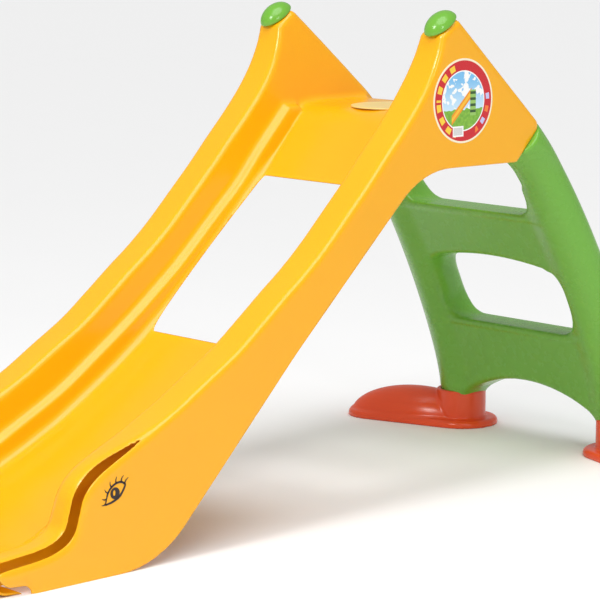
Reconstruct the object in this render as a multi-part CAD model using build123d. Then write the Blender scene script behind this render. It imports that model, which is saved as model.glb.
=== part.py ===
from build123d import *
import math
import os

# A child's garden slide: one hollow yellow moulding with a deep trough and a deck, two ears with
# push-in caps, and a one-piece green ladder that plugs into the back and stands on two splayed feet.
# Side view: X runs from the exit towards the ladder, Z is up. Sizes are in millimetres.

# ------------------------------------------------------------------ driving sizes
chute_run = 977.0            # exit tip to the front lip of the deck, along X
deck_height = 668.0          # ground to the top of the deck
chute_width = 468.0          # outside to outside of the side walls
deck_length = 175.0          # front lip to rear edge of the deck
ladder_spread = 317.5        # rear edge of the deck to the stile centre on the ground

wall_width = 70.0            # outside to inside of one hollow side wall
skin = 3.4                   # thickness of the wall's side skins
cover = 5.0                  # upright thickness of the wall's top skin
wall_height = 114.0          # trough floor up to the rim
ledge_height = 52.0          # trough floor up to the ledge
ledge_width = 18.0           # how far the ledge stands in from the side wall
floor_thickness = 5.0
deck_thickness = 6.0
deck_lip_radius = 50.0

ear_rise = 143.0             # deck up to the front of the ear's seat
ear_lead = 21.0              # how far that point lies ahead of the deck lip
ear_seat_length = 44.0
ear_seat_angle = 33.0
ear_top_width = 51.0
ear_lean_start = 43.0        # above the deck, where the inner face starts to lean out

gusset_depth = 87.0          # deck top down to the gusset's lower edge
gusset_radius = 165.0
mouth_drop = 48.0            # deck top down to the centre of the ladder mouth
mouth_lead = 29.0            # mouth centre behind the deck's rear edge
mouth_above = 32.0           # mouth centre to the gusset's rear corner
mouth_below = 57.0           # mouth centre to the gusset's lower corner
mouth_corner_radius = 9.0
underside_foot = 325.0       # exit tip to where the underside would meet the ground
underside_top = 910.0        # exit tip to where it would meet the gusset's lower edge
underside_bow = 11.0         # how far the middle of the underside bows up
underside_bow_radius = 1500.0
underside_radius = 185.0
sole_front = 63.0            # exit tip to the start of the flat sole

snout_height = 58.0
snout_length = 156.0
snout_rise = 16.0            # how much the snout's top climbs along its length
brow_height = 184.0
brow_end = 226.0             # exit tip to the end of the brow, where the rim starts

cap_height = 20.0
cap_overhang = 4.0
cap_stem_radius = 9.0
cap_stem_length = 22.0
cap_barb = 1.2
cap_clearance = 0.3

stile_radius = 40.0
stile_wall = 3.4
stile_tilt = 46.0            # how far the stile has turned from upright at the mouth, in degrees
stile_low_pull = 85.0        # how firmly the centre line holds its direction at the socket
stile_high_pull = 185.0      # and at the mouth
stile_splay = 9.0            # how much further out the stiles stand on the ground
tongue_radius = 22.0
tongue_length = 80.0
tongue_inset = 12.0          # the tongue stands this far inwards of the stile's centre line
tongue_clearance = 0.3
socket_wall = 3.5
shoulder_gap = 1.0

tread_low = 230.0            # ground to the lower tread
tread_high = 466.0           # ground to the upper tread
step_recess = 3.0            # how far the step faces lie behind the stiles
step_gap = 142.0             # lower tread up to the crown of the arch above it
arch_crown = 118.0           # ground to the crown of the lowest arch
arch_radius = 315.0
opening_half = 162.0
opening_rise = 18.0          # how much the opening's arched top falls to its corners
opening_low_radius = 58.0
opening_high_radius = 40.0

heel_radius = 72.0
toe_reach = 240.0            # socket centre to the tip of the toe
toe_radius = 57.0            # roundness of the toe's tip
toe_dome = 62.0
toe_turn = 22.5              # degrees that the toe points towards the exit
foot_edge = 14.0             # height of the foot's outer edge
foot_wall = 3.5
foot_socket_wall = 8.0
foot_socket_top = 70.0
foot_web_low = 10.0
foot_web = 4.0
foot_clearance = 0.4

screw_radius = 2.4
screw_head_radius = 5.5
screw_head = 3.2
screw_length = 26.0
screw_clearance = 0.2
screw_room = 1.5             # gap between a screw's head and the deck's underside
screw_pitch = 18.0

disc_radius = 74.0
disc_thickness = 2.5
disc_recess = 2.0
disc_back = 12.0             # gap between the disc and the deck's rear edge

print_thickness = 0.4
label_radius = 72.5
label_from_mouth = (-176.0, 74.0)    # label centre from the mouth centre, along X and Z
eye_place = (240.0, 130.0)           # eye centre from the exit tip and the ground
eye_width = 50.0
eye_height = 26.0
eye_tilt = 32.0
eye_line = 2.6
lash_count = 7
lash_length = 9.0

# ------------------------------------------------------------------ places that follow
half_width = chute_width / 2
inner_face = half_width - wall_width
wall_centre = half_width - wall_width / 2
trough_half = inner_face - ledge_width
deck_rear = chute_run + deck_length
stile_x = deck_rear + ladder_spread
overall_length = stile_x + heel_radius
mouth = Vector(deck_rear + mouth_lead, 0, deck_height - mouth_drop)
stile_base = foot_web_low + foot_web
ear_front = Vector(chute_run - ear_lead, 0, deck_height + ear_rise)
seat_slope = math.radians(ear_seat_angle)
ear_back = ear_front + Vector(math.cos(seat_slope), 0, math.sin(seat_slope)) * ear_seat_length
SIDES = {"left": -1, "right": 1}


def point(x, z):
    """A point of the side view."""
    return Vector(x, 0, z)


def slope(along, up):
    """A point of the slide's slope, from its shares of the run and of the deck height."""
    return point(along * chute_run, up * deck_height)


SLOPE = [slope(0.023, 0.063), slope(0.228, 0.113), slope(0.437, 0.256), slope(0.653, 0.475), slope(0.853, 0.755)]


# ------------------------------------------------------------------ stile centre line
stile_run = Vector(-math.sin(math.radians(stile_tilt)), 0, math.cos(math.radians(stile_tilt)))
stile_side = Vector(stile_run.Z, 0, -stile_run.X)
tongue_root = mouth - stile_side * tongue_inset
tongue_drop = deck_height - tongue_root.Z
top_screw = (tongue_drop - deck_thickness - screw_head_radius - screw_room) / stile_run.Z
ladder_screw_places = (top_screw - screw_pitch, top_screw)


def stile_edge(offset, beyond):
    """The stile's centre line moved sideways, from the top of the foot's socket to a length past the mouth."""
    line = Bezier(
        point(stile_x, foot_socket_top),
        point(stile_x, foot_socket_top + stile_low_pull),
        mouth - stile_run * stile_high_pull,
        mouth + stile_run * beyond,
    )
    if offset == 0:
        return line
    count = 12
    places = []
    for number in range(count + 1):
        along = line.tangent_at(number / count)
        places.append(line.position_at(number / count) + Vector(along.Z, 0, -along.X) * offset)
    return Spline(*places, tangents=[(0, 0, 1), stile_run])


def splayed(shape, side):
    """Leans a stile out about the ground and sets it on its side of the slide."""
    rise = mouth.Z - stile_base
    lean = math.degrees(math.atan2(stile_splay, rise))
    tilted = Pos(0, 0, stile_base) * Rot(side * lean, 0, 0) * Pos(0, 0, -stile_base) * shape
    return Pos(0, side * (wall_centre + stile_splay), 0) * tilted


def stile_form(extra):
    """One stile up to its shoulder, as a swept round bar with its radius grown by extra."""
    upright = Edge.make_line(point(stile_x, stile_base), point(stile_x, foot_socket_top))
    path = Wire([upright, stile_edge(0, -shoulder_gap)])
    section = Plane(origin=point(stile_x, stile_base), z_dir=(0, 0, 1)) * Circle(stile_radius + extra)
    return sweep(section, path=path)


def tongue_form(extra, length):
    """The round tongue above the shoulder, with its radius grown by extra."""
    start = tongue_root - stile_run * (shoulder_gap + 1.0)
    plane = Plane(origin=start, z_dir=stile_run)
    return extrude(plane * Circle(tongue_radius + extra), amount=length + shoulder_gap + 1.0)


# ------------------------------------------------------------------ chute
def panel_face():
    """The side wall's outline: ears, gusset, straight underside, flat sole, snout, brow and rim."""
    underside_high = point(underside_top, deck_height - gusset_depth)
    underside_low = point(underside_foot, 0)
    back = FilletPolyline(
        ear_back,
        mouth + stile_side * mouth_above,
        mouth - stile_side * mouth_below,
        underside_high,
        (underside_high + underside_low) * 0.5 + point(0, underside_bow),
        underside_low,
        point(sole_front, 0),
        radius=[mouth_corner_radius, mouth_corner_radius, gusset_radius, underside_bow_radius, underside_radius],
    )
    snout_top = point(0.14 * snout_length, snout_height)
    snout_back = point(snout_length, snout_height + snout_rise)
    nose = Spline(
        point(sole_front, 0), point(0.27 * sole_front, 0.26 * snout_height), point(0, 0.64 * snout_height), snout_top,
        tangents=[(-1, 0, 0), (1, 0, 0.08)],
    )
    top = Edge.make_line(snout_top, snout_back)
    brow = Spline(
        snout_back, point(0.5 * (snout_length + brow_end) - 24, 0.75 * brow_height), point(brow_end, brow_height),
        tangents=[(0.12, 0, 1), (1, 0, 0.5)],
    )
    lift = Vector(0, 0, wall_height)
    shoulder = ear_front + Vector(-0.055 * chute_run, 0, -0.8 * ear_rise)
    rim = Spline(
        point(brow_end, brow_height), SLOPE[2] + lift, SLOPE[3] + lift, SLOPE[4] + lift, shoulder, ear_front,
        tangents=[(1, 0, 0.5), (0.25, 0, 1)],
    )
    seat = Edge.make_line(ear_front, ear_back)
    return Face(Wire([*back.edges(), *nose.edges(), top, *brow.edges(), *rim.edges(), seat]))


def shifted(face, x, z):
    return face.moved(Location((x, 0, z)))


def cavity_face(panel):
    """The wall's inside, closed at the top and the front and open along its lower edges."""
    return panel & shifted(panel, 0, -cover) & shifted(panel, skin, 0)


def across(face, low, high):
    """Extrudes a side-view face between two distances from the centre plane, on the positive side."""
    return Pos(0, low, 0) * extrude(face, amount=high - low, dir=(0, 1, 0))


def lean_cut(inset):
    """What the leaning inner face takes off the ear, moved outwards by inset."""
    low = deck_height + ear_lean_start
    high = deck_height + ear_rise + ear_seat_length
    lean = wall_width - ear_top_width
    top = low + (high - low) * 2
    wedge = Face(Wire(Polyline(
        (0, 0, low), (0, inner_face + inset, low), (0, inner_face + inset + 2 * lean, top), (0, 0, top), close=True,
    ).edges()))
    return extrude(wedge, amount=2 * deck_rear, dir=(1, 0, 0))


def floor_outline():
    """The trough floor's line, from the exit over the deck lip to the deck's rear edge."""
    lip_start = point(chute_run - 0.16 * deck_lip_radius, deck_height - 0.26 * deck_lip_radius)
    lip_end = point(chute_run + 0.6 * deck_lip_radius, deck_height)
    incline = Spline(*SLOPE, lip_start, tangents=[(1, 0, 0.03), (0.7, 0, 0.72)])
    lip = Spline(lip_start, lip_end, tangents=[(0.7, 0, 0.72), (1, 0, 0)])
    deck = Edge.make_line(lip_end, point(deck_rear, deck_height))
    return [*incline.edges(), *lip.edges(), deck]


def band(low, high):
    """The side-view strip between the floor's line moved to two heights."""
    line = floor_outline()
    first, last = SLOPE[0], point(deck_rear, deck_height)
    up, down = Vector(0, 0, high), Vector(0, 0, low)
    edges = [edge.moved(Location((0, 0, high))) for edge in line]
    edges += [edge.moved(Location((0, 0, low))) for edge in line]
    edges += [Edge.make_line(first + down, first + up), Edge.make_line(last + down, last + up)]
    return Face(Wire(edges))


def exit_lip_face():
    """The lip that turns the trough floor down to the ground at the exit."""
    start = SLOPE[0]
    back = point(SLOPE[1].X, SLOPE[1].Z)
    front = Spline(
        point(4, 0), point(1, 0.45 * SLOPE[0].Z), start,
        tangents=[(-0.1, 0, 1), (1, 0, 0.03)],
    )
    incline = Spline(start, slope(0.11, 0.0775), back, tangents=[(1, 0, 0.03), (1, 0, 0.36)])
    closing = Polyline(back, point(back.X, 0), point(4, 0))
    outer = Face(Wire([*front.edges(), *incline.edges(), *closing.edges()]))
    return outer - shifted(outer, floor_thickness, -floor_thickness)


def half_chute(panel):
    """The positive side of the chute, from the centre plane to its outer face."""
    cavity = cavity_face(panel)
    wall = across(panel, inner_face, half_width) - lean_cut(0)
    wall -= across(cavity, inner_face + skin, half_width - skin) - lean_cut(skin)
    floor = across(band(-floor_thickness, 0), 0, trough_half + skin)
    below_rim = panel & band(-floor_thickness, ledge_height)
    lower_wall = across(below_rim, trough_half, trough_half + skin)
    ledge_strip = panel & band(ledge_height - floor_thickness, ledge_height)
    ledge = across(ledge_strip, trough_half, inner_face + skin)
    under_deck = Box(2 * deck_rear, chute_width, 2 * deck_height, align=(Align.MIN, Align.CENTER, Align.MAX))
    room = Pos(0, 0, deck_height) * under_deck
    brow_box = Box(brow_end, chute_width, 2 * brow_height, align=(Align.MIN, Align.CENTER, Align.CENTER))
    brow = across(panel - shifted(panel, 0, -cover), trough_half, inner_face + skin) & brow_box
    lip = across(exit_lip_face(), 0, trough_half + skin)
    shelf_start = chute_run - ledge_height * 0.75
    shelf = Pos(shelf_start, trough_half, deck_height) * Box(
        deck_rear - shelf_start, inner_face + skin - trough_half, deck_thickness,
        align=(Align.MIN, Align.MIN, Align.MAX),
    )
    apron = Pos(deck_rear, 0, deck_height) * Box(
        skin, inner_face - 2 * screw_head, gusset_depth / 2, align=(Align.MAX, Align.MIN, Align.MAX),
    )
    return wall + floor + (lower_wall & room) + (ledge & room) + brow + lip + shelf + apron


def stile_socket(panel):
    """The tube inside the gusset that takes the ladder's tongue, and the plate round its mouth."""
    tube = tongue_form(tongue_clearance + socket_wall, tongue_length + socket_wall)
    plate_plane = Plane(origin=mouth, z_dir=stile_run)
    plate = extrude(plate_plane * Rectangle(4 * stile_radius, 4 * stile_radius), amount=skin)
    body = splayed(tube, 1) + (Pos(0, wall_centre, 0) * plate)
    return body & across(panel, inner_face + skin / 2, half_width - skin / 2)


def cross_rib(x, panel):
    """A rib under the trough floor that ties the two side walls together."""
    rib_depth = 22.0
    strip = panel & band(-floor_thickness - rib_depth, -floor_thickness / 2)
    slab = Pos(x, 0, 0) * Box(skin, chute_width, 4 * deck_height)
    return across(strip, 0, inner_face + skin / 2) & slab


def chute():
    panel = panel_face()
    half = half_chute(panel) + stile_socket(panel)
    for share in (0.3, 0.5, 0.7, 0.85):
        half += cross_rib(share * chute_run, panel)
    half -= splayed(tongue_form(tongue_clearance, tongue_length + tongue_clearance), 1)
    half -= cap_stem(1, cap_clearance)
    for place in ladder_screw_places:
        half -= ladder_screw(place, 1, screw_clearance)
    body = half + mirror(half, about=Plane.XZ)
    return body - disc_place(disc_recess)


# ------------------------------------------------------------------ ear caps
def seat_plane(side):
    """The plane of the ear's seat, with its normal pointing away from the ear."""
    centre = (ear_front + ear_back) * 0.5
    y = side * (half_width - ear_top_width / 2)
    return Plane(
        origin=(centre.X, y, centre.Z),
        x_dir=(math.cos(seat_slope), 0, math.sin(seat_slope)),
        z_dir=(-math.sin(seat_slope), 0, math.cos(seat_slope)),
    )


def cap_stem(side, extra):
    stem = Cylinder(cap_stem_radius + extra, cap_stem_length, align=(Align.CENTER, Align.CENTER, Align.MAX))
    return seat_plane(side) * stem


def ear_cap(side):
    """A pebble-shaped cap with a barbed stem that snaps into the top of the ear."""
    half_long = ear_seat_length / 2 + cap_overhang
    half_wide = ear_top_width / 2
    pebble = scale(Sphere(1.0), by=(half_long, half_wide, cap_height))
    pebble -= Pos(0, 0, -cap_height) * Box(4 * half_long, 4 * half_wide, 2 * cap_height)
    barb_top = -(cover + cap_clearance)
    barb = Pos(0, 0, barb_top) * Cone(
        cap_stem_radius, cap_stem_radius + cap_barb, 5.0, align=(Align.CENTER, Align.CENTER, Align.MAX),
    )
    return seat_plane(side) * (pebble + barb) + cap_stem(side, 0)


# ------------------------------------------------------------------ ladder
def step_side(offset):
    """The side-view strip that both steps are cut from, narrower than the stiles by the recess."""
    low = Edge.make_line(point(stile_x - offset, foot_socket_top), point(stile_x + offset, foot_socket_top))
    high = Edge.make_line(mouth - stile_side * offset, mouth + stile_side * offset)
    return Face(Wire([low, high, stile_edge(-offset, 0), stile_edge(offset, 0)]))


def rounded_opening(low, crown, half):
    """A ladder opening seen along X: a flat tread below, a shallow arch above, round corners."""
    corner = crown - opening_rise
    arch = ThreePointArc((0, -half, corner), (0, 0, crown), (0, half, corner))
    sides = Polyline((0, half, corner), (0, half, low), (0, -half, low), (0, -half, corner))
    face = Face(Wire([*arch.edges(), *sides.edges()]))
    lower = [v for v in face.vertices() if v.Z < low + 1]
    face = face.fillet_2d(opening_low_radius, lower)
    upper = [v for v in face.vertices() if v.Z > corner - 1]
    return face.fillet_2d(opening_high_radius, upper)


def step_front(inset):
    """Both steps seen along X, shrunk by inset on every edge."""
    top = tread_high + opening_low_radius * 0.8
    sheet = Pos(0, 0, foot_socket_top) * Box(
        1, 2 * wall_centre, top - foot_socket_top, align=(Align.CENTER, Align.CENTER, Align.MIN),
    )
    middle = rounded_opening(tread_low - inset, tread_low + step_gap + inset, opening_half + inset)
    upper = rounded_opening(tread_high - inset, tread_high + step_gap * 2, opening_half + inset)
    arch = Plane.YZ * Pos(0, arch_crown + inset - arch_radius - inset) * Circle(arch_radius + inset)
    front = sheet
    for hole in (middle, upper, arch):
        front -= extrude(hole, amount=1, dir=(1, 0, 0), both=True)
    return front


def stretched(sheet, length):
    """A one-millimetre sheet facing X, stretched along X."""
    return Pos(stile_x, 0, 0) * scale(sheet, by=(length, 1, 1))


def ladder_form(inset):
    """Stiles and steps as one rounded body, shrunk by inset: the outside, or the hollow inside it."""
    side = across(step_side(stile_radius - step_recess - inset), 0, wall_centre)
    side += mirror(side, about=Plane.XZ)
    steps = side & stretched(step_front(inset), 4 * ladder_spread)
    body = steps
    for sign in SIDES.values():
        stile = stile_form(-inset)
        if inset:
            stile -= Pos(stile_x, 0, stile_base) * Box(8 * stile_radius, 8 * stile_radius, 2 * inset)
            stop = Plane(origin=mouth - stile_run * (shoulder_gap + inset), z_dir=stile_run)
            stile -= extrude(stop * Rectangle(8 * stile_radius, 8 * stile_radius), amount=4 * inset)
        body += splayed(stile, sign)
    return body


def ladder():
    """The ladder moulding: hollow stiles and steps, and a solid tongue at the top of each stile."""
    body = ladder_form(0) - ladder_form(stile_wall)
    for sign in SIDES.values():
        body += splayed(tongue_form(0, tongue_length), sign)
        body -= foot_screw(sign, screw_clearance)
        for place in ladder_screw_places:
            body -= ladder_screw(place, sign, screw_clearance)
    return body


# ------------------------------------------------------------------ feet
def foot_form(inset):
    """The foot's outside, or with an inset its inside: a flat tapering base with a dome over the toe."""
    heel = Circle(heel_radius - inset)
    toe = Pos(toe_reach - toe_radius, 0) * Circle(toe_radius - inset)
    base = extrude(make_hull([*heel.edges(), *toe.edges()]), amount=foot_edge - inset)
    if not inset:
        base = fillet(base.edges().group_by(Axis.Z)[-1], foot_edge * 0.6)
    half_long = (toe_reach + heel_radius * 0.4) / 2 - inset
    dome = scale(Sphere(1.0), by=(half_long, (heel_radius + toe_radius) / 2 - 2 - inset, toe_dome - inset))
    body = base + Pos(toe_reach - half_long - inset - 1, 0, 0) * dome
    ground = Box(4 * toe_reach, 4 * toe_reach, 2 * toe_dome, align=(Align.CENTER, Align.CENTER, Align.MAX))
    return body - ground


def foot(side):
    """A splayed foot: a thin domed shell with an upright socket and a web that the stile stands on."""
    turn = side * (90 + toe_turn)
    body = foot_form(0) - foot_form(foot_wall)
    outer = stile_radius + foot_clearance + foot_socket_wall
    socket = Cylinder(outer, foot_socket_top - foot_web_low, align=(Align.CENTER, Align.CENTER, Align.MIN))
    body += Pos(0, 0, foot_web_low) * socket
    body = Pos(stile_x, side * (wall_centre + stile_splay), 0) * Rot(0, 0, turn) * body
    body -= splayed(stile_form(foot_clearance), side)
    return body - foot_screw(side, screw_clearance)


# ------------------------------------------------------------------ fixings
def screw(extra):
    """A pan-head screw along +Z with the underside of its head at the origin."""
    head = Cylinder(
        screw_head_radius, screw_head, align=(Align.CENTER, Align.CENTER, Align.MAX),
    )
    shank = Cylinder(
        screw_radius + extra, screw_length + 2 * extra, align=(Align.CENTER, Align.CENTER, Align.MIN),
    )
    if extra:
        return shank
    slot = Pos(0, 0, -screw_head) * Box(2 * screw_radius, 1.2, screw_head)
    cross = Pos(0, 0, -screw_head) * Box(1.2, 2 * screw_radius, screw_head)
    return head + shank - slot - cross


def foot_screw(side, extra):
    return Pos(stile_x, side * (wall_centre + stile_splay), foot_web_low) * screw(extra)


def ladder_screw(place, side, extra):
    """A screw driven outwards through the gusset's inner skin into the ladder's tongue."""
    centre = tongue_root + stile_run * place
    plane = Plane(origin=(centre.X, side * inner_face, centre.Z), x_dir=(1, 0, 0), z_dir=(0, side, 0))
    return plane * screw(extra)


# ------------------------------------------------------------------ disc and prints
def disc_place(depth):
    x = deck_rear - disc_back - disc_radius
    return Pos(x, 0, deck_height - depth) * Cylinder(
        disc_radius, disc_thickness, align=(Align.CENTER, Align.CENTER, Align.MIN),
    )


def on_panel(x, z, side):
    """A plane on a wall's outer face, with its own X along the slide and its normal outwards."""
    return Plane(origin=(x, side * half_width, z), x_dir=(-side, 0, 0), z_dir=(0, side, 0))


def label():
    place = on_panel(mouth.X + label_from_mouth[0], mouth.Z + label_from_mouth[1], SIDES["left"])
    return extrude(place * Circle(label_radius), amount=print_thickness)


def eye(side):
    """A printed eye: two lids, an iris with a ring round it, and lashes along the upper lid."""
    half = eye_width / 2
    lids = []
    for inset in (0, eye_line):
        upper = ThreePointArc((-half + 2 * inset, 0), (0, eye_height / 2 - inset), (half - 2 * inset, 0))
        lower = ThreePointArc((half - 2 * inset, 0), (0, inset - eye_height / 2), (-half + 2 * inset, 0))
        lids.append(make_face([*upper.edges(), *lower.edges()]))
    drawing = lids[0] - lids[1]
    iris = eye_height * 0.37
    drawing += Circle(iris) - Circle(iris - eye_line * 0.7) + Circle(iris - eye_line * 1.4)
    for number in range(lash_count):
        share = (number + 0.5) / lash_count * 2 - 1
        root = Vector(share * half * 0.85, eye_height / 2 * (1 - share * share * 0.75) - eye_line / 2)
        fan = 90 - share * 35
        lash = Pos(lash_length / 2, 0) * Rectangle(lash_length, eye_line * 0.6)
        drawing += Pos(root.X, root.Y) * Rot(0, 0, fan) * lash
    place = on_panel(*eye_place, side)
    return extrude(place * Rot(0, 0, -side * eye_tilt) * drawing, amount=print_thickness)


# ------------------------------------------------------------------ write the parts
def build():
    parts = {"chute": chute(), "ladder": ladder(), "platform_disc": disc_place(disc_recess), "label": label()}
    for name, side in SIDES.items():
        parts["ear_cap_" + name] = ear_cap(side)
        parts["foot_" + name] = foot(side)
        parts["eye_print_" + name] = eye(side)
    parts["foot_screws"] = Compound(children=[foot_screw(side, 0) for side in SIDES.values()])
    parts["ladder_screws"] = Compound(children=[
        ladder_screw(place, side, 0) for side in SIDES.values() for place in ladder_screw_places
    ])
    os.makedirs("parts", exist_ok=True)
    for name, shape in parts.items():
        export_step(Pos(-overall_length / 2, 0, 0) * shape, f"parts/{name}.step")


build()
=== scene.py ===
import math

import bmesh
import bpy
import numpy as np
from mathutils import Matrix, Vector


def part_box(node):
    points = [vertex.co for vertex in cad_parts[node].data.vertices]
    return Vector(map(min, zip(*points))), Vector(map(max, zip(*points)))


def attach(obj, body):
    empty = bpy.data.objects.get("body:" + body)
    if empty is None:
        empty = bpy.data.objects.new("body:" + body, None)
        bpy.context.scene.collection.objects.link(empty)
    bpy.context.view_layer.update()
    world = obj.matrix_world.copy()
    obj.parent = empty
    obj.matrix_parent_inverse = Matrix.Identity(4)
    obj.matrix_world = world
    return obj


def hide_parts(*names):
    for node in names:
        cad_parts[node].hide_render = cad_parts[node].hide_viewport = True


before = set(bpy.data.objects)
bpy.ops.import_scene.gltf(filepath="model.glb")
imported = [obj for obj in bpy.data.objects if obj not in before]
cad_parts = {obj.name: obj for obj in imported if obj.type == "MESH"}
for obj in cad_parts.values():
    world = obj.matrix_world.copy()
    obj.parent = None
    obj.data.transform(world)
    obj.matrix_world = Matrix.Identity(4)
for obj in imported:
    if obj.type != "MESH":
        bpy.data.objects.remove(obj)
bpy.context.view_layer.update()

import openvdb
from bpy.props import FloatProperty, FloatVectorProperty, IntProperty, PointerProperty
from bpy.types import Operator, Panel, PropertyGroup
from mathutils import Matrix, Vector

bl_info = {
    "name": "Garden slide",
    "version": (1, 0, 0),
    "blender": (4, 5, 0),
    "location": "3D View > Sidebar > Slide",
    "description": "Builds a child's garden slide round its packed frame",
    "category": "Object",
}

BODY = "root"
EXIT_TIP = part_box("chute")[0].x
OUTER_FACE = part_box("chute")[1].y
SIDES = {"left": -1, "right": 1}


# ---------------------------------------------------------------- sizes and colours
def length(name, description, default):
    return FloatProperty(name=name, description=description, default=default, unit="LENGTH")


def colour(name, description, default):
    return FloatVectorProperty(name=name, description=description, default=default, subtype="COLOR", size=4)


class SlideShape(PropertyGroup):
    rim_radius: length("Rim edge", "Roundness of the rim's two edges", 0.009)
    brow_radius: length("Brow edge", "Roundness of the snout and the brow at the exit", 0.028)
    ledge_inset: length("Ledge", "How far the ledge stands in from the side wall", 0.012)
    wall_lean: FloatProperty(name="Wall lean", default=0.10,
                             description="How much the wall's inside leans out, per length of rise")
    skin: length("Skin", "Thickness of the moulding", 0.0036)
    floor_fillet: length("Floor fillet", "Hollow curve between the trough's floor and its sides", 0.016)
    ledge_edge: length("Ledge edge", "Roundness of the ledge along the trough", 0.007)
    trough_half: length("Trough half width", "Centre of the trough to the ledge's edge", 0.146)
    mouth_plate: length("Mouth plate", "Thickness of the plate that the ladder's shoulder meets", 0.0045)
    rib_depth: length("Rib depth", "Depth of the ribs under the floor", 0.022)
    cell: length("Mesh cell", "Size of the mesh's faces on the slide", 0.004)


class LadderShape(PropertyGroup):
    foot_radius: length("Stile", "Radius of a stile above its foot's socket", 0.0425)
    plug_radius: length("Plug", "Radius of a stile inside its socket and at the mouth", 0.0398)
    step_half: length("Step half depth", "Half of a step's depth from front to back", 0.035)
    lip: length("Tread lip", "How far a tread's lip stands out of the step's face", 0.003)
    lip_height: length("Lip height", "Height of a tread's lip", 0.015)
    blend: length("Blend", "Hollow curve between stiles and steps", 0.020)
    nosing: length("Nosing", "Roundness of the edges of the steps", 0.010)
    cell: length("Mesh cell", "Size of the mesh's faces on the ladder", 0.0038)


class FootShape(PropertyGroup):
    heel: length("Heel", "Radius of the base round the socket", 0.072)
    toe: length("Toe", "Radius of the base's tip", 0.057)
    reach: length("Reach", "Socket's centre to the toe's own centre", 0.183)
    edge: length("Edge", "Height of the base's outer edge", 0.014)
    dome_length: length("Dome half length", "Half of the dome's length", 0.143)
    dome_width: length("Dome half width", "Half of the dome's width", 0.061)
    dome_height: length("Dome height", "Height of the dome", 0.066)
    dome_centre: length("Dome centre", "Socket's centre to the dome's centre", 0.094)
    turn: FloatProperty(name="Turn", description="How far the toe points to the exit", subtype="ANGLE",
                        default=math.radians(22.5))
    socket: length("Socket", "Outer radius of the socket", 0.0484)
    bore: length("Bore", "Inner radius of the socket", 0.0404)
    socket_top: length("Socket top", "Ground to the top of the socket", 0.070)
    wall: length("Wall", "Thickness of the foot's shell", 0.0035)
    cell: length("Mesh cell", "Size of the mesh's faces on the feet", 0.0018)


class CapShape(PropertyGroup):
    half_length: length("Half length", "Half of a cap's length along the ear's seat", 0.035)
    half_width: length("Half width", "Half of a cap's width", 0.0265)
    height: length("Height", "Height of a cap above the seat", 0.021)
    edge: length("Edge", "Roundness of a cap's lower edge", 0.003)
    cell: length("Mesh cell", "Size of the mesh's faces on the caps", 0.0011)


class PrintShape(PropertyGroup):
    label_radius: length("Label", "Radius of the label", 0.0725)
    border: length("Border", "Radius where the label's pale border starts", 0.069)
    picture: length("Picture", "Radius of the label's round picture", 0.050)
    film: length("Film", "Thickness of the printed films", 0.0004)
    lid_line: length("Lid line", "Width of the line along the eye's lids", 0.0034)
    iris: length("Iris", "Radius of the iris", 0.0092)
    lashes: IntProperty(name="Lashes", description="Number of lashes on each eye", default=7)


class Finish(PropertyGroup):
    yellow: colour("Slide", "Colour of the slide", (0.93, 0.43, 0.003, 1))
    green: colour("Ladder", "Colour of the ladder and the caps", (0.155, 0.42, 0.040, 1))
    orange: colour("Feet", "Colour of the feet", (0.80, 0.080, 0.016, 1))
    # pale: painted reflection; the disc's pale colour stands in for the bright room mirrored in the glossy
    # deck
    pale: colour("Disc", "Colour of the disc on the deck", (0.90, 0.66, 0.22, 1))
    ink: colour("Ink", "Colour of the printed eyes", (0.020, 0.008, 0.006, 1))
    steel: colour("Screws", "Colour of the screws", (0.62, 0.62, 0.60, 1))
    gloss: FloatProperty(name="Roughness", description="How matt the mouldings are", default=0.22,
                         min=0, max=1)


class Studio(PropertyGroup):
    floor: colour("Floor", "Colour of the floor", (0.93, 0.93, 0.93, 1))
    key: FloatProperty(name="Key light", description="Strength of the soft box over the left side",
                       default=26, unit="POWER")
    fill: FloatProperty(name="Fill light", description="Strength of the light from the front", default=12,
                        unit="POWER")
    room: FloatProperty(name="Room light", description="Strength of the light from all round", default=0.42)
    sky: FloatProperty(name="Ceiling light", default=1.9,
                       description="Strength of the broad light from above")
    lens: FloatProperty(name="Lens", description="Focal length of the camera in millimetres", default=156)
    camera: FloatVectorProperty(name="Camera", description="Place of the camera", subtype="TRANSLATION",
                                default=(-2.9749, -3.3120, 1.0682))
    aim: FloatVectorProperty(name="Aim", description="Direction in which the camera looks",
                             subtype="DIRECTION", default=(0.6682, 0.7266, -0.1599))


# ---------------------------------------------------------------- side-view outlines
def at(x, z):
    """A place in the side view, from the exit's tip and the ground."""
    return (EXIT_TIP + x, z)


def flow(points, steps=10):
    """A smooth line through points in a plane, with even roundness in and out of each."""
    p = np.array(points, float)
    p = np.vstack([2 * p[0] - p[1], p, 2 * p[-1] - p[-2]])
    line = []
    for a, b, c, d in zip(p, p[1:], p[2:], p[3:]):
        for t in np.arange(steps) / steps:
            line.append(0.5 * (2 * b + (c - a) * t + (2 * a - 5 * b + 4 * c - d) * t * t
                               + (3 * b - a - 3 * c + d) * t ** 3))
    return np.array(line + [p[-2]])


def rounded(points, radii, steps=8):
    """A line through points with an arc of the given radius at each inner corner."""
    p = np.array(points, float)
    line = [p[0]]
    for before, corner, after, radius in zip(p, p[1:], p[2:], radii):
        a, b = before - corner, after - corner
        a, b = a / np.linalg.norm(a), b / np.linalg.norm(b)
        half = math.acos(np.clip(a @ b, -1, 1)) / 2
        centre = corner + (a + b) / np.linalg.norm(a + b) * radius / math.sin(half)
        start, end = corner + a * radius / math.tan(half), corner + b * radius / math.tan(half)
        for t in np.linspace(0, 1, steps + 1):
            ray = (start - centre) * (1 - t) + (end - centre) * t
            line.append(centre + ray / np.linalg.norm(ray) * radius)
    return np.array(line + [p[-1]])


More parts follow.
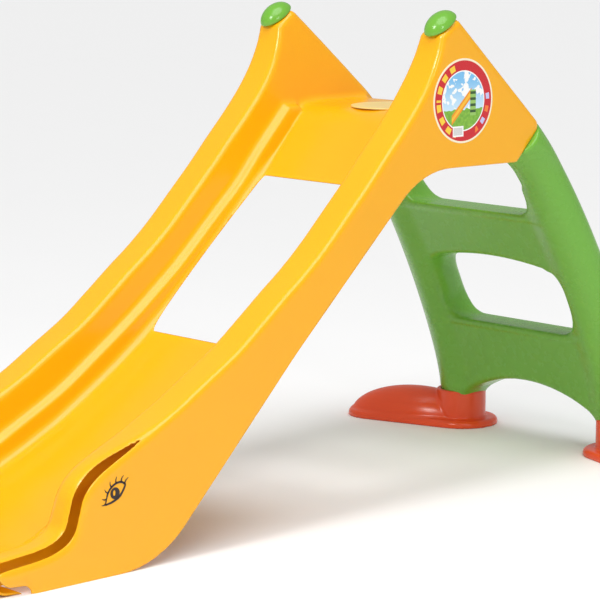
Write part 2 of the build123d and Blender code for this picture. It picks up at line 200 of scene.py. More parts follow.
DECK = 0.668
DECK_REAR = 1.152
FLOOR = [at(0.022, 0.042), at(0.122, 0.050), at(0.222, 0.074), at(0.306, 0.109), at(0.367, 0.138),
         at(0.427, 0.170), at(0.544, 0.245), at(0.638, 0.317), at(0.735, 0.406), at(0.833, 0.504),
         at(0.905, 0.577), at(0.952, 0.628)]
DECK_LIP = [at(0.952, 0.628), at(0.972, 0.6495), at(0.996, 0.6635), at(1.030, DECK)]
EXIT_LIP = [at(0.003, -0.05), at(0.002, 0.000), at(-0.001, 0.018), at(0.004, 0.034), at(0.022, 0.042)]
LEDGE = [at(0.115, 0.045), at(0.160, 0.070), at(0.225, 0.105), at(0.306, 0.149), at(0.379, 0.186),
         at(0.436, 0.217), at(0.494, 0.256), at(0.579, 0.315), at(0.635, 0.358), at(0.686, 0.399),
         at(0.733, 0.442), at(0.786, 0.492), at(0.829, 0.532), at(0.883, 0.594)]
NOSE = [at(0.063, 0.000), at(0.034, 0.003), at(0.014, 0.014), at(0.001, 0.034), at(0.006, 0.049),
        at(0.024, 0.057)]
BROW = [at(0.090, 0.063), at(0.124, 0.070), at(0.147, 0.084), at(0.157, 0.110), at(0.166, 0.137),
        at(0.186, 0.162), at(0.222, 0.184)]
RIM = [at(0.309, 0.217), at(0.367, 0.245), at(0.427, 0.281), at(0.492, 0.320), at(0.544, 0.359),
       at(0.599, 0.402), at(0.638, 0.431), at(0.684, 0.470), at(0.735, 0.520), at(0.782, 0.567),
       at(0.823, 0.611), at(0.865, 0.655), at(0.901, 0.697), at(0.928, 0.737), at(0.946, 0.775),
       at(0.956, 0.811)]
EAR_BACK = np.array(at(0.993, 0.835))
MOUTH = np.array(at(1.181, 0.620))
MOUTH_TILT = math.radians(46)
STILE_RUN = np.array([-math.sin(MOUTH_TILT), math.cos(MOUTH_TILT)])
STILE_SIDE = np.array([math.cos(MOUTH_TILT), math.sin(MOUTH_TILT)])
STILE_FOOT = EXIT_TIP + 1.4695
SOCKET_TOP = 0.070
WALL_CENTRE = 0.199
SPLAY = 0.009
STILE_LOW_PULL = 0.085
STILE_HIGH_PULL = 0.185
MOUTH_ABOVE = 0.032
MOUTH_BELOW = 0.057
CHUTE_RUN = 0.977
RIB_SHARES = (0.3, 0.5, 0.7, 0.85)
RIB_HALF = 0.003
TREADS = (0.230, 0.466)
ARCH_CROWN = 0.118
ARCH_RADIUS = 0.315


def stile_line():
    """A stile's centre line in the side view, from the ground to just past the mouth."""
    t = np.linspace(0, 1, 40)[:, None]
    low, high = np.array([STILE_FOOT, SOCKET_TOP]), MOUTH
    a, b = low + [0, STILE_LOW_PULL], high - STILE_RUN * STILE_HIGH_PULL
    curve = (1 - t) ** 3 * low + 3 * (1 - t) ** 2 * t * a + 3 * (1 - t) * t * t * b + t ** 3 * high
    return np.vstack([[STILE_FOOT, -0.03], curve, high + STILE_RUN * 0.05])


def panel_back():
    """The side wall's outline from the back of the ear down its back, round the mouth and to the sole."""
    return rounded(
        [RIM[-1], EAR_BACK, MOUTH + STILE_SIDE * MOUTH_ABOVE, MOUTH - STILE_SIDE * MOUTH_BELOW,
         at(0.910, 0.581), at(0.6175, 0.3015), at(0.325, 0.000), at(0.063, 0.000)],
        [0.010, 0.009, 0.009, 0.165, 1.500, 0.185],
    )


def panel_outline():
    return np.vstack([flow(NOSE + BROW + RIM)[:-1], panel_back()[1:-1]])


def open_outline():
    """The wall's outline drawn down below the ground, so that only its upper edges are rounded."""
    back = panel_back()[1:]
    corner = back[:np.argmax(back[:, 0]) + 1]
    return np.vstack([flow(NOSE + BROW + RIM)[:-1], corner, [(corner[-1][0], -0.1), at(0.063, -0.1)]])


# ---------------------------------------------------------------- solids as distance fields
class Block:
    """A block of space cut into cells, in which a moulding is given by its distance from every cell."""

    def __init__(self, low, high, cell):
        self.low, self.cell = np.array(low, float), cell
        count = np.ceil((np.array(high) - self.low) / cell).astype(int) + 1
        axes = [(self.low[i] + cell * np.arange(count[i])).astype(np.float32) for i in range(3)]
        self.x, self.y, self.z = axes[0][:, None, None], axes[1][None, :, None], axes[2][None, None, :]

    def plane(self, u, v, outline):
        """Distance from an outline in the plane of u and v, less than nothing inside it."""
        u, v = np.broadcast_arrays(u, v)
        distance = np.full(u.shape, 1e9, np.float32)
        inside = np.zeros(u.shape, bool)
        for (a, b), (c, d) in zip(outline, np.roll(outline, -1, axis=0)):
            du, dv = c - a, d - b
            length = du * du + dv * dv
            if length < 1e-16:
                continue
            t = np.clip(((u - a) * du + (v - b) * dv) / length, 0, 1)
            distance = np.minimum(distance, (u - a - t * du) ** 2 + (v - b - t * dv) ** 2)
            if abs(dv) > 1e-12:
                inside ^= ((v >= b) != (v >= d)) & (u < a + (v - b) * du / dv)
        return np.where(inside, -1, 1) * np.sqrt(distance)

    def side(self, outline):
        return self.plane(self.x, self.z, outline)

    def line(self, points):
        """Distance from an open line in the side view, with its sign saying which side a cell is on."""
        u, v = np.broadcast_arrays(self.x, self.z)
        distance = np.full(u.shape, 1e9, np.float32)
        sign = np.ones(u.shape, np.float32)
        for (a, b), (c, d) in zip(points, points[1:]):
            du, dv = c - a, d - b
            t = np.clip(((u - a) * du + (v - b) * dv) / (du * du + dv * dv), 0, 1)
            apart = (u - a - t * du) ** 2 + (v - b - t * dv) ** 2
            nearer = apart < distance
            distance = np.where(nearer, apart, distance)
            sign = np.where(nearer, np.sign(du * (v - b) - dv * (u - a)), sign)
        return sign * np.sqrt(distance)

    def mesh(self, name, field, both_sides=False):
        """The surface where the field is nothing. For both sides, the field given is the +Y half."""
        band = 4 * self.cell
        values = np.clip(field, -band, band).astype(np.float32)
        low = self.low.copy()
        if both_sides:
            values = np.concatenate([values[:, :0:-1], values], axis=1)
            low[1] -= self.cell * (field.shape[1] - 1)
        grid = openvdb.FloatGrid(band)
        grid.copyFromArray(values)
        grid.transform = openvdb.createLinearTransform(voxelSize=self.cell)
        points, quads = grid.convertToQuads(isovalue=0)
        return solid_mesh(name, points + low, quads)


def placed(name, data):
    """A new object for a mesh, a lamp or a camera."""
    piece = bpy.data.objects.new(name, data)
    bpy.context.scene.collection.objects.link(piece)
    return piece


def facing(direction):
    """The rotation of a lamp or a camera that looks in a direction."""
    return Vector(direction).to_track_quat("-Z", "Y").to_euler()


def solid_mesh(name, points, faces):
    mesh = bpy.data.meshes.new(name)
    mesh.vertices.add(len(points))
    mesh.vertices.foreach_set("co", np.asarray(points, np.float32).ravel())
    sides = faces.shape[1]
    mesh.loops.add(faces.size)
    mesh.loops.foreach_set("vertex_index", faces.astype(np.int32).ravel())
    mesh.polygons.add(len(faces))
    mesh.polygons.foreach_set("loop_start", np.arange(0, faces.size, sides, dtype=np.int32))
    mesh.update(calc_edges=True)
    mesh.shade_smooth()
    return placed(name, mesh)


def both(a, b, radius):
    """What lies in both solids, with the edge between them rounded."""
    return (np.minimum(np.maximum(a, b), -radius)
            + np.hypot(np.maximum(a + radius, 0), np.maximum(b + radius, 0)))


def joined(a, b, radius):
    """Either solid, with a hollow curve where they meet."""
    return -both(-a, -b, radius)


def egg(x, y, z, reach):
    """Distance from an egg with its three half sizes in reach."""
    a = np.sqrt((x / reach[0]) ** 2 + (y / reach[1]) ** 2 + (z / reach[2]) ** 2)
    b = np.sqrt((x / reach[0] ** 2) ** 2 + (y / reach[1] ** 2) ** 2 + (z / reach[2] ** 2) ** 2)
    return a * (a - 1) / np.maximum(b, 1e-9)


def ramp(value, start, end):
    """0 before start, 1 after end, and smooth between."""
    t = np.clip((value - start) / (end - start), 0, 1)
    return t * t * (3 - 2 * t)


def extruded(name, outline, low, high):
    """A side-view outline drawn out from low to high along Y."""
    count = len(outline)
    points = np.vstack([np.insert(outline, 1, low, axis=1), np.insert(outline, 1, high, axis=1)])
    mesh = bpy.data.meshes.new(name)
    ring = list(range(count))
    faces = [ring[::-1], [i + count for i in ring]]
    faces += [(i, (i + 1) % count, (i + 1) % count + count, i + count) for i in ring]
    mesh.from_pydata(points.tolist(), [], faces)
    return placed(name, mesh)


def turned(name, profile, count):
    """A solid of revolution about Z, from its profile as distance out and height."""
    points, faces = [], []
    for out, height in profile:
        for k in range(count):
            a = 2 * math.pi * k / count
            points.append((out * math.cos(a), out * math.sin(a), height))
    for row in range(len(profile) - 1):
        for k in range(count):
            a, b = row * count + k, row * count + (k + 1) % count
            faces.append((a, b, b + count, a + count))
    mesh = bpy.data.meshes.new(name)
    mesh.from_pydata(points, [], faces)
    tidy = bmesh.new()
    tidy.from_mesh(mesh)
    bmesh.ops.remove_doubles(tidy, verts=tidy.verts, dist=1e-7)
    bmesh.ops.recalc_face_normals(tidy, faces=tidy.faces)
    tidy.to_mesh(mesh)
    return placed(name, mesh)


def stroke(line, *widths):
    """A pen stroke along a line: its two sides, its width changing evenly from end to end, and open ends."""
    line = np.asarray(line)
    along = np.gradient(line, axis=0)
    along /= np.linalg.norm(along, axis=1)[:, None]
    side = np.stack([-along[:, 1], along[:, 0]], axis=1)
    width = np.interp(np.linspace(0, 1, len(line)), np.linspace(0, 1, len(widths)), widths)[:, None]
    return (line + side * width / 2, line - side * width / 2, False)


def film_of(name, strips, thickness):
    """A film on the +Y side, from strips between two side-view lines that are open or closed to a ring."""
    mesh = bmesh.new()
    for first, second, closed in strips:
        count = len(first)
        rows = [[mesh.verts.new((p[0], y, p[1])) for p in edge]
                for y in (0, thickness) for edge in (first, second)]
        low_a, low_b, high_a, high_b = rows
        for i in range(count if closed else count - 1):
            j = (i + 1) % count
            mesh.faces.new((low_a[i], low_a[j], low_b[j], low_b[i]))
            mesh.faces.new((high_b[i], high_b[j], high_a[j], high_a[i]))
            mesh.faces.new((low_a[j], low_a[i], high_a[i], high_a[j]))
            mesh.faces.new((low_b[i], low_b[j], high_b[j], high_b[i]))
        if not closed:
            mesh.faces.new((low_a[0], low_b[0], high_b[0], high_a[0]))
            mesh.faces.new((low_b[-1], low_a[-1], high_a[-1], high_b[-1]))
    bmesh.ops.recalc_face_normals(mesh, faces=mesh.faces)
    data = bpy.data.meshes.new(name)
    mesh.to_mesh(data)
    return placed(name, data)


def apply_modifiers(piece):
    shape = bpy.data.meshes.new_from_object(piece.evaluated_get(bpy.context.evaluated_depsgraph_get()))
    piece.modifiers.clear()
    piece.data = shape
    return piece


def carved(piece, tool, operation):
    """Cuts a piece with a tool, which is used up."""
    cut = piece.modifiers.new(operation.title(), "BOOLEAN")
    cut.operation, cut.object, cut.solver = operation, tool, "MANIFOLD"
    apply_modifiers(piece)
    bpy.data.objects.remove(tool)
    return piece


# ---------------------------------------------------------------- shader sums
class Sum:
    """A socket of a shader tree that can be reckoned with like a number."""

    def __init__(self, tree, socket):
        self.tree, self.socket = tree, socket

    def math(self, operation, *values):
        return self.tree.math(operation, *values)

    def __add__(self, other):
        return self.math("ADD", self, other)

    def __radd__(self, other):
        return self.math("ADD", other, self)

    def __sub__(self, other):
        return self.math("SUBTRACT", self, other)

    def __rsub__(self, other):
        return self.math("SUBTRACT", other, self)

    def __mul__(self, other):
        return self.math("MULTIPLY", self, other)

    def __rmul__(self, other):
        return self.math("MULTIPLY", other, self)

    def __truediv__(self, other):
        return self.math("DIVIDE", self, other)

    def __lt__(self, other):
        return self.math("LESS_THAN", self, other)

    def __gt__(self, other):
        return self.math("GREATER_THAN", self, other)


class ShaderTree:
    """A material under construction."""

    def __init__(self, name):
        self.material = bpy.data.materials.new(name)
        self.material.use_nodes = True
        self.nodes = self.material.node_tree.nodes
        self.shader = self.nodes["Principled BSDF"]

    def link(self, target, value):
        if isinstance(value, Sum):
            self.material.node_tree.links.new(value.socket, target)
        else:
            target.default_value = value

    def node(self, kind, settings, *values, output=0, **named):
        """Adds a node: its settings first, then its inputs in order or by name, and returns one output."""
        node = self.nodes.new(kind)
        for key, value in settings.items():
            setattr(node, key, value)
        for socket, value in zip(node.inputs, values):
            self.link(socket, value)
        for key, value in named.items():
            self.link(node.inputs[key], value)
        return Sum(self, node.outputs[output])

    def math(self, operation, *values):
        return self.node("ShaderNodeMath", {"operation": operation}, *values)

    def place(self):
        return self.node("ShaderNodeTexCoord", {}, output=3)

    def noise(self, scale, detail=2.0, roughness=0.5):
        return self.node("ShaderNodeTexNoise", {}, Vector=self.place(), Scale=scale, Detail=detail,
                         Roughness=roughness)

    def mix(self, factor, a, b):
        """Two colours mixed by a factor."""
        node = self.nodes.new("ShaderNodeMix")
        node.data_type = "RGBA"
        for index, value in ((0, factor), (6, a), (7, b)):
            self.link(node.inputs[index], value)
        return Sum(self, node.outputs[2])

    def bump(self, height, distance, strength=1.0):
        return self.node("ShaderNodeBump", {}, Strength=strength, Distance=distance, Height=height)

    def axis(self, place, centre):
        """The three parts of a place, reckoned from a centre."""
        parts = self.nodes.new("ShaderNodeSeparateXYZ")
        self.link(parts.inputs[0], place)
        return [Sum(self, parts.outputs[k]) - centre[k] for k in range(3)]

    def set(self, **sockets):
        for name, value in sockets.items():
            self.link(self.shader.inputs[name.replace("_", " ")], value)
        return self.material


def shade(colour, factor):
    return (colour[0] * factor, colour[1] * factor, colour[2] * factor, 1)


def moulded_plastic(name, colour, roughness, glow):
    """Glossy moulded plastic: faint clouds in the colour, uneven gloss, a fine skin and faint flow marks."""
    tree = ShaderTree(name)
    clouds = tree.noise(5.0, 3.0)
    tint = tree.mix(clouds, shade(colour, 0.97), shade(colour, 1.03))
    specks = tree.noise(900.0, 2.0)
    waves = tree.noise(28.0, 2.0)
    skin = tree.bump(specks * 0.35 + waves, 0.00025, 0.35)
    tree.set(Base_Color=tint, Roughness=roughness + (tree.noise(55.0, 4.0) - 0.5) * 0.08, Normal=skin)
    return tree.set(Subsurface_Weight=glow, Subsurface_Radius=(0.02, 0.012, 0.004), Subsurface_Scale=0.35,
                    IOR=1.5)


def printed_ink(name, colour):
    """Matt printed ink with a faint grain."""
    tree = ShaderTree(name)
    grain = tree.noise(1200.0, 2.0)
    return tree.set(Base_Color=tree.mix(grain, shade(colour, 0.8), shade(colour, 1.4)),
                    Roughness=0.35 + grain * 0.15, Normal=tree.bump(grain, 0.0001, 0.3))


def brushed_steel(name, colour):
    """Plated steel with fine scratches."""
    tree = ShaderTree(name)
    scratches = tree.noise(1500.0, 4.0)
    return tree.set(Base_Color=tree.mix(scratches, shade(colour, 0.85), shade(colour, 1.1)), Metallic=1.0,
                    Roughness=0.25 + scratches * 0.2, Normal=tree.bump(scratches, 0.0001, 0.4))


def label_print(shape, centre):
    """A round picture of a slide in a garden, inside a red ring with bars and dots, with a cream border."""
    tree = ShaderTree("label print")
    x, _, z = tree.axis(tree.place(), centre)
    out = tree.math("SQRT", x * x + z * z)
    angle = tree.math("ARCTAN2", z, x)
    grain = tree.noise(1500.0, 2.0)
    cream, red, white = (0.93, 0.84, 0.62, 1), (0.60, 0.012, 0.02, 1), (0.95, 0.95, 0.93, 1)
    sky = tree.mix((z + 0.035) * 14.0, (0.75, 0.90, 0.97, 1), (0.20, 0.52, 0.84, 1))
    picture = tree.mix(tree.noise(60.0, 3.0) > 0.56, sky, white)
    grass = tree.mix(tree.noise(220.0, 3.0), (0.05, 0.28, 0.02, 1), (0.35, 0.62, 0.06, 1))
    picture = tree.mix(z < tree.noise(40.0) * 0.02 - 0.026, picture, grass)
    slope = tree.math("ABSOLUTE", z + 0.006 - x * 0.95)
    slide = (slope < 0.0085) * (tree.math("ABSOLUTE", x + 0.004) < 0.024)
    picture = tree.mix(slide, picture, (0.85, 0.30, 0.01, 1))
    picture = tree.mix((slope < 0.0035) * slide, picture, (0.95, 0.52, 0.03, 1))
    steps = (tree.math("ABSOLUTE", x - 0.024) < 0.007) * (tree.math("ABSOLUTE", z + 0.004) < 0.022)
    rungs = tree.math("FRACT", z * 95.0) > 0.45
    picture = tree.mix(steps, picture, (0.03, 0.09, 0.02, 1))
    picture = tree.mix(steps * rungs, picture, (0.30, 0.55, 0.12, 1))
    child = tree.math("SQRT", (x - 0.006) * (x - 0.006) + (z - 0.024) * (z - 0.024))
    picture = tree.mix(child < 0.0065, picture, (0.95, 0.95, 0.93, 1))
    ring = tree.math("ABSOLUTE", out - 0.060) < 0.0052
    bars = tree.math("FRACT", angle * 2.6) < 0.55
    left = x < -0.018
    art = tree.mix(ring * bars * left, red, (0.95, 0.62, 0.04, 1))
    right = (x > 0.030) * (z < 0.018)
    dots = tree.math("SINE", angle * 17.0) > 0.1
    dotted = (tree.math("ABSOLUTE", out - 0.060) < 0.0042) * dots * right
    tint = tree.mix(tree.math("SINE", angle * 8.5) > 0, (0.90, 0.20, 0.03, 1), (0.55, 0.55, 0.85, 1))
    art = tree.mix(dotted, art, tint)
    art = tree.mix(out < shape.picture + 0.002, art, white)
    art = tree.mix(out < shape.picture, art, picture)
    plate = (tree.math("ABSOLUTE", x + 0.012) < 0.013) * (tree.math("ABSOLUTE", z + 0.052) < 0.009)
    stripes = tree.math("FRACT", x * 420.0) > 0.5
    art = tree.mix(plate, art, white)
    inner_plate = (tree.math("ABSOLUTE", x + 0.012) < 0.011) * (tree.math("ABSOLUTE", z + 0.052) < 0.0065)
    art = tree.mix(inner_plate * stripes, art, (0.35, 0.35, 0.35, 1))
    art = tree.mix(out > shape.border, art, cream)
    tree.set(Base_Color=art, Roughness=0.22 + grain * 0.08, Normal=tree.bump(grain, 0.0001, 0.25))
    return tree.material


# ---------------------------------------------------------------- pieces
def settle(piece, node, material):
    """Sets a finished piece on the body in place of its CAD node."""
    piece.data.materials.clear()
    piece.data.materials.append(material)
    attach(piece, BODY)
    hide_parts(node)


def mirrored(piece, name):
    """A copy of a piece on the other side of the slide."""
    mesh = piece.data.copy()
    mesh.transform(Matrix.Diagonal((1, -1, 1, 1)))
    mesh.flip_normals()
    return placed(name, mesh)


class SLIDE_OT_chute(Operator):
    """Builds the slide moulding: side walls, ears, trough, deck and snout"""

    bl_idname = "slide.chute"
    bl_label = "Slide moulding"

    def execute(self, context):
        shape, finish = context.scene.slide_shape, context.scene.slide_finish
        low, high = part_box("chute")
        pad = 4 * shape.cell
        block = Block((low.x - pad, 0, low.z - pad), (high.x + pad, high.y + pad, high.z + pad), shape.cell)
        mass, hollow = self.fields(block, shape)
        moulding = block.mesh("slide_moulding", mass, both_sides=True)
        inside = block.mesh("inside", hollow, both_sides=True)
        carved(moulding, extruded("outline", panel_outline(), -0.5, 0.5), "INTERSECT")
        carved(moulding, inside, "DIFFERENCE")
        yellow = moulded_plastic("yellow moulding", finish.yellow, finish.gloss, 0.15)
        settle(moulding, "chute", yellow)
        return {"FINISHED"}

    def fields(self, block, shape):
        """The moulding's outside, and the hollow inside it."""
        x, y = block.x - EXIT_TIP, block.y
        outline = block.side(open_outline())
        floor_line = np.vstack([flow(EXIT_LIP)[:-1], flow(FLOOR)[:-1], flow(DECK_LIP)])
        floor_end = [at(DECK_REAR, DECK), at(DECK_REAR, -0.1), at(0.003, -0.1)]
        floor = block.side(np.vstack([floor_line, floor_end]))
        ledge_end = [at(0.935, 0.650), at(0.948, 0.664), at(0.975, 0.664), at(1.0, 0.6), at(1.0, -0.1),
                     at(0.115, -0.1)]
        ledge = block.side(np.vstack([flow(LEDGE), ledge_end]))
        above = np.maximum(np.minimum(ledge, floor), 0)
        inner_face = shape.trough_half + shape.ledge_inset + shape.wall_lean * above + 0.2 * above ** 2
        inner = inner_face - y
        radius = shape.brow_radius + (shape.rim_radius - shape.brow_radius) * ramp(x, 0.20, 0.36)
        wall = both(outline, np.maximum(y - OUTER_FACE, inner), radius)
        lower_wall = shape.trough_half - 0.006 + 0.10 * np.clip(floor, 0, 0.06) - y
        shelf = both(ledge, lower_wall, shape.ledge_edge)
        fillet = shape.floor_fillet * np.maximum(ramp(x, 0.16, 0.26) * (1 - ramp(x, 0.86, 0.93)), 0.02)
        trough = joined(floor, shelf, fillet)
        mass = joined(np.maximum(trough, y - OUTER_FACE + 0.02), wall, 0.012)
        skin = shape.skin
        up_mouth = (block.x - MOUTH[0]) * STILE_RUN[0] + (block.z - MOUTH[1]) * STILE_RUN[1]
        pocket = np.maximum(np.maximum(outline, y - OUTER_FACE) + skin, inner + skin)
        pocket = np.maximum(pocket, shape.mouth_plate - up_mouth)
        under = np.maximum(trough + skin, y - shape.trough_half - shape.ledge_inset)
        for share in RIB_SHARES:
            rib = np.maximum(np.abs(x - share * CHUTE_RUN) - RIB_HALF, -floor - shape.rib_depth)
            under = np.maximum(under, -rib)
        return mass, np.minimum(pocket, under)


class SLIDE_OT_ladder(Operator):
    """Builds the ladder moulding: two curved stiles joined by two steps over an arch"""

    bl_idname = "slide.ladder"
    bl_label = "Ladder"

    def execute(self, context):
        shape, finish = context.scene.ladder_shape, context.scene.slide_finish
        low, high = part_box("ladder")
        pad = 4 * shape.cell
        block = Block((low.x - pad, 0, low.z - pad), (high.x + pad, high.y + pad, high.z + pad), shape.cell)
        ladder = block.mesh("ladder_moulding", self.field(block, shape), both_sides=True)
        green = moulded_plastic("green moulding", finish.green, finish.gloss + 0.05, 0.08)
        settle(ladder, "ladder", green)
        return {"FINISHED"}

    def field(self, block, shape):
        y, z = block.y, block.z
        course = block.line(stile_line())
        centre = WALL_CENTRE + SPLAY * (1 - np.clip(z / MOUTH[1], 0, 1))
        body = shape.foot_radius - shape.plug_radius
        radius = shape.plug_radius + (
            body * ramp(z, SOCKET_TOP + 0.001, SOCKET_TOP + 0.007) * (1 - ramp(z, 0.2, 0.6)))
        flare = 0.012 * ramp(z, 0.550, 0.610)
        stile = np.hypot(course - flare / 2, y - centre) - radius - flare / 2
        holes = np.minimum(*[self.opening(block, tread) for tread in TREADS])
        arch = np.hypot(y, z - (ARCH_CROWN - ARCH_RADIUS)) - ARCH_RADIUS
        front = np.maximum(-np.minimum(holes, arch), np.maximum(z - 0.512, y - centre))
        step = both(np.abs(course) - shape.step_half, front, shape.nosing)
        for tread in TREADS:
            band = np.maximum(z - tread, tread - shape.lip_height - z)
            lip = both(np.abs(course) - shape.step_half - shape.lip, np.maximum(front, band), 0.006)
            step = np.minimum(step, lip)
        ladder = joined(stile, step, shape.blend)
        up_mouth = (block.x - MOUTH[0]) * STILE_RUN[0] + (z - MOUTH[1]) * STILE_RUN[1]
        return np.maximum(ladder, np.maximum(up_mouth + 0.001, 0.014 - z))

    def opening(self, block, tread):
        """Distance from an opening seen along X: flat tread below, shallow arch above."""
        half, crown, fall = 0.178, tread + 0.142, 0.022
        if tread == TREADS[-1]:
            crown = tread + 0.4
        side = [(y, crown - fall * (y / half) ** 2) for y in np.linspace(0, half, 9)]
        outline = rounded([side[0], side[-1], (half, tread), (0, tread)], [0.040, 0.058])
        arch = [p for p in side if p[0] < outline[1][0]]
        outline = np.vstack([arch, outline[1:], [(-0.05, tread), (-0.05, crown)]])
        return block.plane(block.y, block.z, outline)


class SLIDE_OT_feet(Operator):
    """Builds the two splayed feet: a domed shell with a socket for the ladder"""

    bl_idname = "slide.feet"
    bl_label = "Feet"

    def execute(self, context):
        shape, finish = context.scene.foot_shape, context.scene.slide_finish
        low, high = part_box("foot_right")
        pad = 4 * shape.cell
        block = Block((low.x - pad, low.y - pad, low.z - pad), (high.x + pad, high.y + pad, high.z + 2 * pad),
                      shape.cell)
        orange = moulded_plastic("orange moulding", finish.orange, finish.gloss + 0.02, 0.10)
        right = block.mesh("foot_shell_right", self.field(block, shape))
        left = mirrored(right, "foot_shell_left")
        settle(right, "foot_right", orange)
        settle(left, "foot_left", orange)
        return {"FINISHED"}

    def field(self, block, shape):
        away_x, away_y = block.x - STILE_FOOT, block.y - (WALL_CENTRE + SPLAY)
        toe = np.array([-math.sin(shape.turn), math.cos(shape.turn)])
        s = away_x * toe[0] + away_y * toe[1]
        t = away_x * toe[1] - away_y * toe[0]
        lean = math.asin((shape.heel - shape.toe) / shape.reach)
        heel = [(-shape.heel * math.cos(a), shape.heel * math.sin(a))
                for a in np.linspace(-math.pi / 2 - lean, math.pi / 2 + lean, 48)]
        tip = [(shape.reach + shape.toe * math.cos(a), shape.toe * math.sin(a))
               for a in np.linspace(math.pi / 2 - lean, lean - math.pi / 2, 40)]
        plan = block.plane(s, t, np.array(heel + tip))
        base = both(plan, block.z - shape.edge, 0.009)
        halves = (shape.dome_length, shape.dome_width, shape.dome_height)
        dome = egg(s - shape.dome_centre, t, block.z, halves)
        shell = joined(base, dome, 0.005)
        out = np.hypot(s, t)
        tube = both(out - shape.socket, block.z - shape.socket_top, 0.0022)
        mass = joined(shell, tube, 0.004)
        inside = np.maximum(shell + shape.wall, shape.socket - out)
        bore = both(out - shape.bore, 0.014 - block.z, 0.001)
        heel_hollow = np.maximum(out - shape.bore, block.z - 0.010)
        hollow = np.minimum(np.minimum(inside, bore), heel_hollow)
        return np.maximum(np.maximum(mass, -block.z), -hollow)


class SLIDE_OT_caps(Operator):
    """Builds the two pebble-shaped caps on the tops of the ears"""

    bl_idname = "slide.caps"
    bl_label = "Ear caps"

    def execute(self, context):
        shape, finish = context.scene.cap_shape, context.scene.slide_finish
        front = np.array(RIM[-1])
        along = (EAR_BACK - front) / np.linalg.norm(EAR_BACK - front)
        centre = (front + EAR_BACK) / 2
        middle = OUTER_FACE - 0.051 / 2
        reach = shape.half_length + 4 * shape.cell
        block = Block((-reach, -reach, -0.006), (reach, reach, shape.height + 4 * shape.cell), shape.cell)
        halves = (shape.half_length, shape.half_width, shape.height + 0.004)
        pebble = egg(block.x, block.y, block.z + 0.004, halves)
        field = both(pebble, -0.001 - block.z, shape.edge)
        right = block.mesh("ear_pebble_right", field)
        turn = Matrix(((along[0], 0, -along[1]), (0, 1, 0), (along[1], 0, along[0]))).to_4x4()
        right.data.transform(Matrix.Translation((centre[0], middle, centre[1])) @ turn)
        left = mirrored(right, "ear_pebble_left")
        green = moulded_plastic("green cap", finish.green, finish.gloss - 0.02, 0.08)
        settle(right, "ear_cap_right", green)
        settle(left, "ear_cap_left", green)
        return {"FINISHED"}


class SLIDE_OT_painted_reflection_disc(Operator):
    """Builds the round disc let into the deck, a pale sheet of painted reflection of the bright room on the
    glossy deck
    """

    bl_idname = "slide.disc"
    bl_label = "Deck disc"

    def execute(self, context):
        low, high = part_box("platform_disc")
        radius = (high.x - low.x) / 2
        top = high.z - low.z
        profile = [(0, 0), (radius, 0), (radius, top - 0.0009), (radius - 0.0003, top - 0.0002),
                   (radius - 0.001, top), (radius - 0.006, top), (radius - 0.0065, top - 0.0002),
                   (0, top - 0.0002)]
        disc = turned("painted_reflection_disc", profile, 128)
        disc.data.transform(Matrix.Translation(((low.x + high.x) / 2, 0, low.z + 0.0003)))
        finish = context.scene.slide_finish
        # The disc's pale material is painted reflection of the bright room on the glossy deck
        settle(disc, "platform_disc", moulded_plastic("painted reflection disc", finish.pale, 0.35, 0.15))
        return {"FINISHED"}


class SLIDE_OT_prints(Operator):
    """Makes the printed films: the round label and the two eyes"""

    bl_idname = "slide.prints"
    bl_label = "Prints"

    def execute(self, context):
        shape, finish = context.scene.print_shape, context.scene.slide_finish
        low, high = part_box("label")
        centre = (low + high) / 2
        edge = shape.film / 2
        radius = shape.label_radius
        profile = [(0, 0), (radius, 0), (radius, edge), (radius - edge, shape.film), (0, shape.film)]
        film = turned("round_label", profile, 160)
        place = Matrix.Translation((centre.x, high.y, centre.z))
        film.data.transform(place @ Matrix.Rotation(math.pi / 2, 4, "X"))
        settle(film, "label", label_print(shape, centre))
        ink = printed_ink("eye ink", finish.ink)
        eye = self.eye(shape)
        eye.data.transform(Matrix.Translation((0, OUTER_FACE, 0)))
        settle(eye, "eye_print_right", ink)
        other = mirrored(eye, "eye_left")
        settle(other, "eye_print_left", ink)
        return {"FINISHED"}

    def eye(self, shape):
        """An eye drawn in the side view: thick lids, an iris with a glint, and a fan of lashes."""
        line = shape.lid_line
        front, rear = at(0.219, 0.115), at(0.259, 0.142)
        lower = flow([front, at(0.233, 0.118), at(0.246, 0.124), at(0.254, 0.133), rear], 8)
        upper = flow([front, at(0.221, 0.124), at(0.226, 0.136), at(0.237, 0.145), at(0.250, 0.147), rear], 8)
        shapes = [stroke(lower, line * 0.8, line * 1.25, line * 0.9), stroke(upper, line * 0.5, line, line)]
        iris = np.array(at(0.238, 0.131))
        turn = np.linspace(0, 2 * math.pi, 41)[:-1]
        ring = np.stack([np.cos(turn), np.sin(turn)], axis=1)
        outer = iris + ring * shape.iris
        glint = iris + np.array([-0.0015, 0.0005]) + ring * shape.iris * [0.28, 0.5]
        shapes.append((outer, glint, True))
        spread = np.linspace(0.06, 0.97, shape.lashes)
        for share in spread:
            root = upper[int(share * (len(upper) - 1))]
            away = root - (iris + [-0.002, -0.010])
            away = away / np.linalg.norm(away)
            bend = np.array([-away[1], away[0]]) * 0.0012
            size = 0.008 + 0.004 * share
            lash = flow([root, root + away * size * 0.5 + bend, root + away * size], 5)
            shapes.append(stroke(lash, line * 0.75, line * 0.55, line * 0.2))
        return film_of("eye_right", shapes, shape.film)


class SLIDE_OT_fixings(Operator):
    """Gives the screws their finish"""

    bl_idname = "slide.fixings"
    bl_label = "Screws"

    def execute(self, context):
        steel = brushed_steel("screw steel", context.scene.slide_finish.steel)
        for name in ("foot_screws", "ladder_screws"):
            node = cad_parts[name]
            node.data.materials.clear()
            node.data.materials.append(steel)
        return {"FINISHED"}


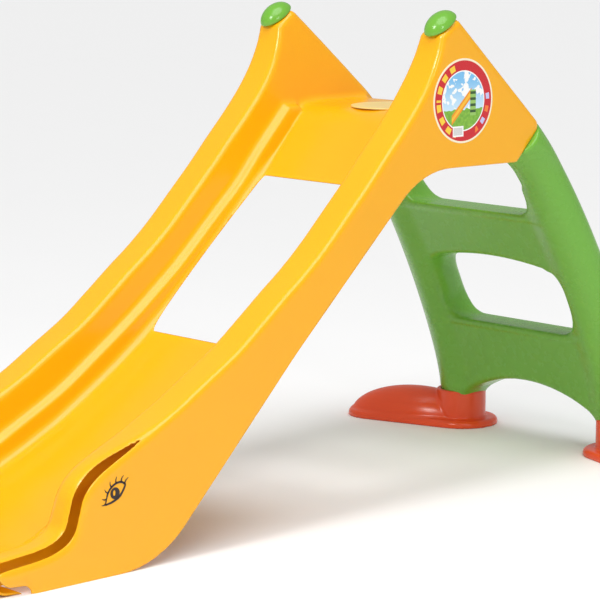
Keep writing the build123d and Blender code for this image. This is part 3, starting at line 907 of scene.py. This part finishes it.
class SLIDE_OT_stage(Operator):
    """Sets the floor, the lights and the camera"""

    bl_idname = "slide.stage"
    bl_label = "Stage"

    def execute(self, context):
        studio = context.scene.studio
        floor = extruded("floor", [(-60, -0.02), (60, -0.02), (60, 0), (-60, 0)], -60, 60)
        tree = ShaderTree("pale floor")
        floor.data.materials.append(tree.set(Base_Color=studio.floor, Roughness=0.7 + tree.noise(3.0) * 0.1))
        world = bpy.data.worlds.new("soft room")
        context.scene.world = world
        world.use_nodes = True
        world.node_tree.nodes["Background"].inputs["Color"].default_value = (1, 1, 1, 1)
        world.node_tree.nodes["Background"].inputs["Strength"].default_value = studio.room
        self.light("key light", (-1.9, -0.4, 2.2), 0.7, studio.key)
        self.light("fill light", (-0.9, -3.2, 2.0), 0.6, studio.fill)
        ceiling = bpy.data.lights.new("ceiling light", "SUN")
        ceiling.energy, ceiling.angle = studio.sky, math.radians(50)
        placed("ceiling light", ceiling).rotation_euler = facing((0.25, 0.35, -1))
        lens = bpy.data.cameras.new("camera")
        lens.lens = studio.lens
        camera = placed("camera", lens)
        camera.location = studio.camera
        camera.rotation_euler = facing(studio.aim)
        context.scene.camera = camera
        context.scene.view_settings.view_transform = "Standard"
        return {"FINISHED"}

    def light(self, name, place, size, power):
        lamp = bpy.data.lights.new(name, "AREA")
        lamp.shape, lamp.size, lamp.energy = "DISK", size, power
        holder = placed(name, lamp)
        holder.location = place
        holder.rotation_euler = facing(Vector((0, 0, 0.35)) - Vector(place))


class SLIDE_PT_panel(Panel):
    bl_idname = "SLIDE_PT_panel"
    bl_label = "Garden slide"
    bl_space_type = "VIEW_3D"
    bl_region_type = "UI"
    bl_category = "Slide"

    def draw(self, context):
        for group in GROUPS:
            box = self.layout.box()
            settings = getattr(context.scene, group)
            for name in settings.__annotations__:
                box.prop(settings, name)
        for step in STEPS:
            self.layout.operator(step.bl_idname)


GROUPS = {
    "slide_shape": SlideShape, "ladder_shape": LadderShape, "foot_shape": FootShape, "cap_shape": CapShape,
    "print_shape": PrintShape, "slide_finish": Finish, "studio": Studio,
}
STEPS = (
    SLIDE_OT_chute, SLIDE_OT_ladder, SLIDE_OT_feet, SLIDE_OT_caps, SLIDE_OT_painted_reflection_disc, SLIDE_OT_prints,
    SLIDE_OT_fixings, SLIDE_OT_stage,
)


def register():
    for each in (*GROUPS.values(), *STEPS, SLIDE_PT_panel):
        bpy.utils.register_class(each)
    for name, group in GROUPS.items():
        setattr(bpy.types.Scene, name, PointerProperty(type=group))


def unregister():
    for name in GROUPS:
        delattr(bpy.types.Scene, name)
    for each in reversed((*GROUPS.values(), *STEPS, SLIDE_PT_panel)):
        bpy.utils.unregister_class(each)


def main():
    register()
    bpy.ops.slide.chute()
    bpy.ops.slide.ladder()
    bpy.ops.slide.feet()
    bpy.ops.slide.caps()
    bpy.ops.slide.disc()
    bpy.ops.slide.prints()
    bpy.ops.slide.fixings()
    bpy.ops.slide.stage()


if __name__ == "__main__":
    main()
